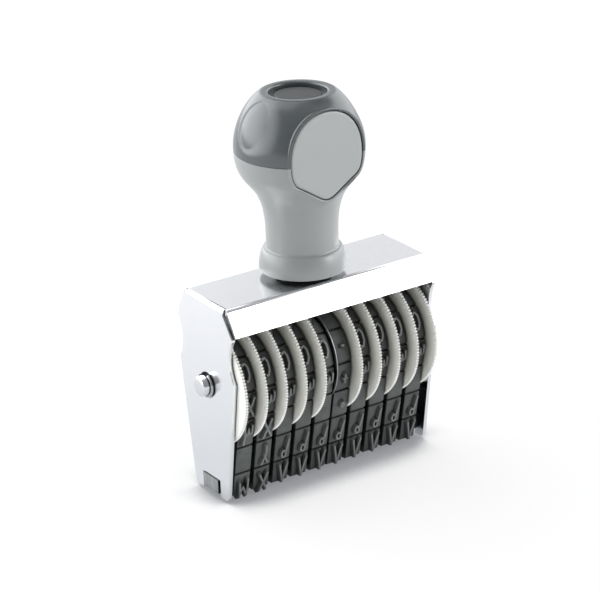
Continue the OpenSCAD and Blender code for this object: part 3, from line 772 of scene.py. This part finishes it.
def makeBand(index):
    node = "type_band_%02d" % index
    low, high = nodeBox(node)
    x = (low.x + high.x) / 2
    grooves, total = grooveStations()
    base, strokes = bmesh.new(), bmesh.new()
    makeBase(base, x, total, grooves)
    middles = [0.0] + [(a + b) / 2 for a, b in zip(grooves, grooves[1:])]  # of the figures, from the foot's
    for figure, middle in zip(bandOrders.get(index, usualOrder), middles):
        for line in figures[figure]:
            makeStroke(strokes, line, x, middle)
    for name, mesh, material in (("typeBand", base, typeRubber),
                                 ("typeFigures", strokes, (litStrokeRubber, typeRubber))):
        bmesh.ops.recalc_face_normals(mesh, faces=mesh.faces)
        shadeByAngle(mesh, 32)
        addPiece("%s%02d" % (name, index), mesh, material, "chassis", (node,))


for bandIndex in range(1, 11):
    makeBand(bandIndex)
print("type bands made")


# heights and radii of the turned form; pulls are shares that bend its curves; the dishes' turn and tilt
# are in degrees, and dishEdge is how wide their slope is at the back and at the front
handleSizes = {"collar": 9.45, "collarHeight": 4.8, "footRound": 0.35, "shoulder": (0.54, 0.1, 0.08),
               "neck": 7.75, "neckHeight": 3.1, "fillet": 0.5, "neckPull": 0.715,
               "knob": 13.9, "knobRise": 28.5, "knobPullLow": 0.506, "knobPullHigh": 0.383,
               "crownPull": (0.44, 0.17), "crownRound": 0.5,
               "recess": 6.15, "recessDepth": 1.5, "lip": 1.7, "lipRound": 0.5,
               "seam": 0.14, "seamDepth": 0.12,
               "dish": 6.2, "dishDepth": 0.3, "dishTurn": 79, "dishTilt": 33, "dishDrop": 13.0,
               "dishEdge": (0.6, 4.2), "dishStart": 5, "steps": 420}


def collarProfile(footZ):
    # from the axis out under the collar, up its side and over its shoulder to the neck
    size = handleSizes
    collar, neck, foot, fillet = size["collar"], size["neck"], size["footRound"], size["fillet"]
    top = footZ + size["collarHeight"]
    share, outward, drop = size["shoulder"]
    profile = [(0, footZ), (collar - foot, footZ), (collar - 0.3 * foot, footZ + 0.3 * foot)]
    profile += bezier((collar, footZ + foot), (collar, footZ + size["collarHeight"] * share),
                      ((collar + neck) / 2 + outward, top - drop), (neck + fillet, top), 16)
    profile += bezier((neck + fillet, top), (neck + 0.35 * fillet, top + 0.05),
                      (neck, top + 0.4 * fillet), (neck, top + 1.6 * fillet), 10)[1:]
    return profile


def handleProfile(footZ, partZ, topZ):
    # the whole handle's outline, with a narrow seam groove at the parting's height
    size = handleSizes
    neckTop = footZ + size["collarHeight"] + size["neckHeight"]
    knobZ = frameTop() + size["knobRise"]
    rise, crown = knobZ - neckTop, topZ - knobZ
    neck, knob, lip, seam = size["neck"], size["knob"], size["recess"] + size["lip"], size["seam"]
    profile = collarProfile(footZ)
    below = bezier((neck, neckTop), (neck, neckTop + rise * size["neckPull"]),
                   (knob, knobZ - rise * size["knobPullLow"]), (knob, knobZ), 90)
    profile += [(r, z) for r, z in below if z < partZ - seam]
    seamRadius = max(r for r, z in below if z < partZ - seam)
    profile += [(seamRadius + 0.005, partZ - 0.8 * seam), (seamRadius - size["seamDepth"], partZ),
                (seamRadius + 0.01, partZ + 0.6 * seam)]
    profile += [(r, z) for r, z in below if z > partZ + seam]
    pullIn, pullDown = size["crownPull"]
    above = bezier((knob, knobZ), (knob, knobZ + crown * size["knobPullHigh"]),
                   (knob - (knob - lip) * pullIn, topZ - crown * pullDown), (lip, topZ), 90)[1:]
    soft, edge, recess = size["crownRound"], size["lipRound"], size["recess"]
    profile += [(r, z) for r, z in above if r > lip + soft]
    profile += bezier(profile[-1], (lip + 0.4 * soft, topZ - 0.05), (lip, topZ), (lip - soft, topZ), 6)[1:]
    profile += bezier((recess + edge, topZ), (recess + 0.4 * edge, topZ), (recess, topZ - 0.4 * edge),
                      (recess, topZ - edge), 6)
    return profile + [(recess, topZ - size["recessDepth"]), (0, topZ - size["recessDepth"])]


def pressDishes(mesh, x, topZ):
    # shallow thumb dishes on the knob's flanks
    size = handleSizes
    start = Vector((x, 0, topZ - size["dishDrop"]))
    tilt = math.radians(size["dishTilt"])
    near, far = size["dishEdge"]
    for side in (-1, 1):
        turn = math.radians(size["dishTurn"]) * side
        axis = Vector((math.sin(turn) * math.cos(tilt), -math.cos(turn) * math.cos(tilt), math.sin(tilt)))
        for vert in mesh.verts:
            away = vert.co - start
            along = away.dot(axis)
            if along < size["dishStart"] or vert.co.z > topZ - 0.02:
                continue
            across = away - axis * along
            reach = across.length
            edge = near + (far - near) * smoothStep(-0.6, 0.8, -across.y / max(reach, 0.01))
            depth = size["dishDepth"] * smoothStep(0, edge, size["dish"] - reach)
            if depth:
                vert.co -= Vector((vert.co.x - x, vert.co.y, 0)).normalized() * depth


# the front plate and the rim of its pocket; top, corner and tip are bezier points as shares of half the
# plate's width and of its height up or down; floor and root are depths from the handle's axis
shieldSizes = {"flat": 10.2, "half": 8.95, "rise": 28.2, "up": 9.85, "down": 9.25, "rim": 0.82, "gap": 0.18,
               "sunk": 0.02, "floor": 8.9, "root": 8.3, "rimRound": 0.26, "plateRound": 0.36,
               "top": ((0, 1), (0.62, 1), (1, 0.58), (1, 0)),
               "corner": ((1, 0), (1, -0.314), (0.916, -0.465), (0.827, -0.524)),
               "tip": ((0.3, -0.85), (0.16, -0.937), (0.09, -0.974), (0, -0.974))}


def shieldOutline(grow, count=24):
    # the front plate's outline as (x, z) about its widest place, from the top clockwise, grown outwards
    size = shieldSizes
    tip = [Vector((px * size["half"], pz * size["down"])) for px, pz in size["tip"]]
    side = [Vector((px * size["half"], pz * size["down"])) for px, pz in size["corner"]]
    edge = (side[3] - tip[0]).normalized()
    out = Vector((edge.y, -edge.x)) * grow
    right, below = Vector((grow, 0)), Vector((0, -grow))
    crown = [(px * (size["half"] + grow), pz * (size["up"] + grow)) for px, pz in size["top"]]
    half = bezier(*crown, count)[:-1]
    half += bezier(side[0] + right, side[1] + right, side[2] + out, side[3] + out, count)
    half += [tuple((side[3] + out).lerp(tip[0] + out, k / count)) for k in range(1, count)]
    half += bezier(tip[0] + out, tip[1] + out, tip[2] + below, tip[3] + below, count)
    return half + [(-px, pz) for px, pz in reversed(half[1:-1])]


def insideShield(px, pz, outline):
    inside = False
    for (ax, az), (bx, bz) in zip(outline, outline[1:] + outline[:1]):
        if (az > pz) != (bz > pz) and px < ax + (bx - ax) * (pz - az) / (bz - az):
            inside = not inside
    return inside


def sinkPocket(mesh, x, middle):
    # the skin inside the rim moves back to the pocket's floor
    size = shieldSizes
    outline = shieldOutline(size["rim"] * 0.5)
    for vert in mesh.verts:
        if vert.co.y < -size["floor"] and insideShield(vert.co.x - x, vert.co.z - middle, outline):
            vert.co.y = -size["floor"]


def sweepShield(mesh, section, x, middle):
    # one ring of points for every (growth, y) of the section
    rings = []
    for grow, y in section:
        rings.append([mesh.verts.new((x + px, y, middle + pz)) for px, pz in shieldOutline(grow)])
    for first, second in zip(rings, rings[1:]):
        bridge(mesh, first, second)
    return rings


def makeRim(x, middle):
    size = shieldSizes
    front, inner, outer, soft = -size["flat"], size["gap"], size["rim"], size["rimRound"]
    section = [(inner, -size["floor"] + 0.1), (inner, front + 0.6 * soft),
               (inner + 0.2 * soft, front + 0.2 * soft), (inner + 0.6 * soft, front),
               (outer - soft, front), (outer - 0.3 * soft, front + 0.3 * soft),
               (outer, front + soft), (outer, -size["root"])]
    mesh = bmesh.new()
    rings = sweepShield(mesh, section, x, middle)
    bridge(mesh, rings[-1], rings[0])
    bmesh.ops.recalc_face_normals(mesh, faces=mesh.faces)
    return mesh


def keepSide(mesh, z, upward):
    # keeps the part above or below a height, and closes the cut
    geometry = mesh.verts[:] + mesh.edges[:] + mesh.faces[:]
    cut = bmesh.ops.bisect_plane(mesh, geom=geometry, plane_co=(0, 0, z),
                                 plane_no=(0, 0, -1 if upward else 1), clear_outer=True)
    edges = [e for e in cut["geom_cut"] if isinstance(e, bmesh.types.BMEdge)]
    closed = bmesh.ops.holes_fill(mesh, edges=edges, sides=0)["faces"]
    bmesh.ops.triangulate(mesh, faces=closed)


def joinMeshes(first, second):
    # adds the second mesh's faces to the first
    places = {vert: first.verts.new(vert.co) for vert in second.verts}
    for face in second.faces:
        first.faces.new([places[vert] for vert in face.verts])
    second.free()


def makeHandle():
    # one turned form with its rim, parted into the body and the cap
    footZ = nodeBox("handle_body")[0].z
    partZ, topZ = (corner.z for corner in nodeBox("handle_cap"))
    seatLow, seatHigh = nodeBox("handle_seat")
    x = (seatLow.x + seatHigh.x) / 2
    middle = frameTop() + shieldSizes["rise"]
    whole = revolve(handleProfile(footZ, partZ, topZ), handleSizes["steps"], x)
    pressDishes(whole, x, topZ)
    sinkPocket(whole, x, middle)
    bmesh.ops.recalc_face_normals(whole, faces=whole.faces)
    for upward, name, material, slot, node in (
            (False, "handleBody", lightPlastic, "light_grey_plastic", "handle_body"),
            (True, "handleCap", darkPlastic, "dark_grey_plastic", "handle_cap")):
        mesh, rim = whole.copy(), makeRim(x, middle)
        keepSide(mesh, partZ, upward)
        keepSide(rim, partZ, upward)
        joinMeshes(mesh, rim)
        shadeByAngle(mesh, 32)
        addPiece(name, mesh, material, "chassis", (node,))
    whole.free()


def makePlate():
    size = shieldSizes
    low, high = nodeBox("front_plate")
    front, soft = -size["flat"] + size["sunk"], size["plateRound"]
    section = [(0, -size["floor"]), (0, front + soft), (-0.12 * soft, front + 0.62 * soft),
               (-0.4 * soft, front + 0.3 * soft), (-soft, front), (-soft - 0.3, front)]
    mesh = bmesh.new()
    rings = sweepShield(mesh, section, (low.x + high.x) / 2, frameTop() + size["rise"])
    caps = [mesh.faces.new(rings[0]), mesh.faces.new(rings[-1])]
    bmesh.ops.recalc_face_normals(mesh, faces=mesh.faces)
    bmesh.ops.triangulate(mesh, faces=caps)
    shadeByAngle(mesh, 40)
    addPiece("frontPlate", mesh, platePlastic, "chassis", ("front_plate",))


topDiscSizes = {"wall": 0.35, "chamfer": (0.1, 0.12), "crownEdge": (0.3, 0.05), "steps": 128}


def makeTopDisc():
    # a round disc with a slightly crowned top
    size = topDiscSizes
    low, high = nodeBox("top_disc")
    radius = (high.x - low.x) / 2
    (cutIn, cutDown), (edgeIn, edgeDown) = size["chamfer"], size["crownEdge"]
    profile = [(0, low.z), (radius, low.z), (radius, high.z - size["wall"]),
               (radius - cutIn, high.z - cutDown)]
    profile += bezier((radius - edgeIn, high.z - edgeDown), (radius * 0.6, high.z), (radius * 0.3, high.z),
                      (0, high.z), 10)
    mesh = revolve(profile, size["steps"], (low.x + high.x) / 2)
    shadeByAngle(mesh, 35)
    addPiece("topDisc", mesh, discPlastic, "chassis", ("top_disc",))


makeHandle()
makePlate()
makeTopDisc()
print("handle made")


def floorMaterial():
    # white to the camera, with a painted soft shadow where the object stands close; mirrored surfaces see
    # the near colour round the object, a painted shade, and the far one further out, at distances in mm
    # from the middle
    look = {"colour": (0.95, 0.95, 0.96), "roughness": 0.6, "seen": 0.75,
            "shadow": (0.3, 0.31, 0.33), "shadowSpan": (16, 0.5, 0.76),
            "near": (0.66, 0.68, 0.7), "far": (0.95, 0.96, 0.98), "nearEnd": 40, "farStart": 130}
    material, tree, shader = startMaterial("paleFloor", look["colour"], look["roughness"])
    path = tree.nodes.new("ShaderNodeLightPath")
    white = tree.nodes.new("ShaderNodeEmission")
    away = vectorNode(tree, "LENGTH", objectCoords(tree))
    spread = remap(tree, away, look["nearEnd"] * mm, look["farStart"] * mm)
    reflected = mixColours(tree, spread, look["near"], look["far"])
    lit = mixColours(tree, path.outputs["Is Glossy Ray"], (1, 1, 1), reflected)
    shaded = mixColours(tree, openness(tree, look["shadowSpan"]), look["shadow"], lit)
    tree.links.new(shaded, white.inputs["Color"])
    either = calculate(tree, "MAXIMUM", path.outputs["Is Camera Ray"], path.outputs["Is Glossy Ray"])
    mix = tree.nodes.new("ShaderNodeMixShader")
    tree.links.new(calculate(tree, "MULTIPLY", either, look["seen"]), mix.inputs["Fac"])
    tree.links.new(shader.outputs[0], mix.inputs[1])
    tree.links.new(white.outputs[0], mix.inputs[2])
    tree.links.new(mix.outputs[0], tree.nodes["Material Output"].inputs["Surface"])
    return material


def makeFloor():
    mesh = bmesh.new()
    bmesh.ops.create_grid(mesh, x_segments=1, y_segments=1, size=3)
    data = bpy.data.meshes.new("floor")
    mesh.to_mesh(data)
    mesh.free()
    data.materials.append(floorMaterial())
    floor = bpy.data.objects.new("floor", data)
    floor.location = (0, 0, -0.0001)
    bpy.context.scene.collection.objects.link(floor)


lampSizes = {
    "key": {"from": (0.5, -0.5, 0.3), "size": (0.3, 0.3), "watts": 1.0, "colour": (1, 1, 1)},
    "top": {"from": (-0.1, 0.25, 0.75), "size": (0.6, 0.6), "watts": 1.0, "colour": (1, 1, 1)}}


def makeLamp(name):
    # a square lamp that looks at the middle of the object
    look = lampSizes[name]
    lamp = bpy.data.lights.new(name + "Lamp", "AREA")
    lamp.shape = "RECTANGLE"
    lamp.size, lamp.size_y = look["size"]
    lamp.energy = look["watts"]
    lamp.color = look["colour"]
    holder = bpy.data.objects.new(name + "Lamp", lamp)
    holder.location = look["from"]
    aim = Vector((0, 0, 0.04)) - Vector(look["from"])
    holder.rotation_mode = "QUATERNION"
    holder.rotation_quaternion = aim.to_track_quat("-Z", "Y")
    bpy.context.scene.collection.objects.link(holder)


def makeWorld():
    # white to the camera; as light, brighter to the left and right of its line of sight and dimmer round
    # the camera itself; a flag is a direction, the cosines of its edge and full shade, and what it lets by
    look = {"tint": (0.975, 0.985, 1.0), "dim": 0.3, "back": 0.9, "left": 2.6, "right": 1.7,
            "toCamera": (-0.518, -0.768, 0.377), "cameraRange": (0.9, -0.2),
            "toLeft": (-0.57, 0.822, 0.0), "leftRange": (0.37, 0.88),
            "toRight": (0.97, -0.19, 0.15), "rightRange": (0.5, 0.95),
            "flags": (((0.42, 0.6, 0.68), 0.955, 0.97, 0.05), ((0.55, 0, 0.835), 0.93, 0.965, 0.15))}
    world = bpy.data.worlds.new("studio")
    bpy.context.scene.world = world
    world.use_nodes = True
    tree = world.node_tree
    tree.nodes.clear()
    output = tree.nodes.new("ShaderNodeOutputWorld")
    seen = tree.nodes.new("ShaderNodeBackground")
    seen.inputs["Color"].default_value = (1, 1, 1, 1)
    seen.inputs["Strength"].default_value = 1
    light = tree.nodes.new("ShaderNodeBackground")
    light.inputs["Color"].default_value = (*look["tint"], 1)
    coords = tree.nodes.new("ShaderNodeTexCoord").outputs["Generated"]

    def glow(direction, edges, low, high):
        return remap(tree, vectorNode(tree, "DOT_PRODUCT", coords, direction), *edges, low, high)

    left = glow(look["toLeft"], look["leftRange"], 0, look["left"])
    right = glow(look["toRight"], look["rightRange"], 0, look["right"])
    depth = glow(look["toCamera"], look["cameraRange"], look["dim"], look["back"])
    strength = calculate(tree, "ADD", depth, calculate(tree, "ADD", left, right))
    for direction, edge, full, passed in look["flags"]:
        strength = calculate(tree, "MULTIPLY", strength, glow(direction, (edge, full), 1, passed))
    tree.links.new(strength, light.inputs["Strength"])
    path = tree.nodes.new("ShaderNodeLightPath")
    mix = tree.nodes.new("ShaderNodeMixShader")
    tree.links.new(path.outputs["Is Camera Ray"], mix.inputs["Fac"])
    tree.links.new(light.outputs[0], mix.inputs[1])
    tree.links.new(seen.outputs[0], mix.inputs[2])
    tree.links.new(mix.outputs[0], output.inputs["Surface"])


# angles are in radians, lengths in mm, and the focal length in pixels of a picture that many pixels wide
cameraSizes = {"azimuth": -0.593, "elevation": 0.387, "roll": -0.032, "aim": (-2.170, 0, 38.997),
               "away": 485.70, "focalPixels": 2263.66, "picture": 600, "sensor": 36.0}


def makeCamera():
    view = cameraSizes
    azimuth, elevation, roll = view["azimuth"], view["elevation"], view["roll"]
    back = Vector((math.sin(azimuth) * math.cos(elevation), -math.cos(azimuth) * math.cos(elevation),
                   math.sin(elevation)))
    right = (-back).cross(Vector((0, 0, 1))).normalized()
    up = right.cross(-back)
    across = right * math.cos(roll) + up * math.sin(roll)
    upward = up * math.cos(roll) - right * math.sin(roll)
    camera = bpy.data.cameras.new("camera")
    camera.sensor_width = view["sensor"]
    camera.lens = view["focalPixels"] / view["picture"] * view["sensor"]
    camera.clip_start, camera.clip_end = 0.01, 20
    holder = bpy.data.objects.new("camera", camera)
    place = (Vector(view["aim"]) + back * view["away"]) * mm
    holder.matrix_world = Matrix((
        (across.x, upward.x, back.x, place.x),
        (across.y, upward.y, back.y, place.y),
        (across.z, upward.z, back.z, place.z),
        (0, 0, 0, 1)))
    bpy.context.scene.collection.objects.link(holder)
    bpy.context.scene.camera = holder


makeFloor()
for lampName in lampSizes:
    makeLamp(lampName)
makeWorld()
makeCamera()
bpy.context.scene.view_settings.view_transform = "Standard"
print("floor, light and camera made")
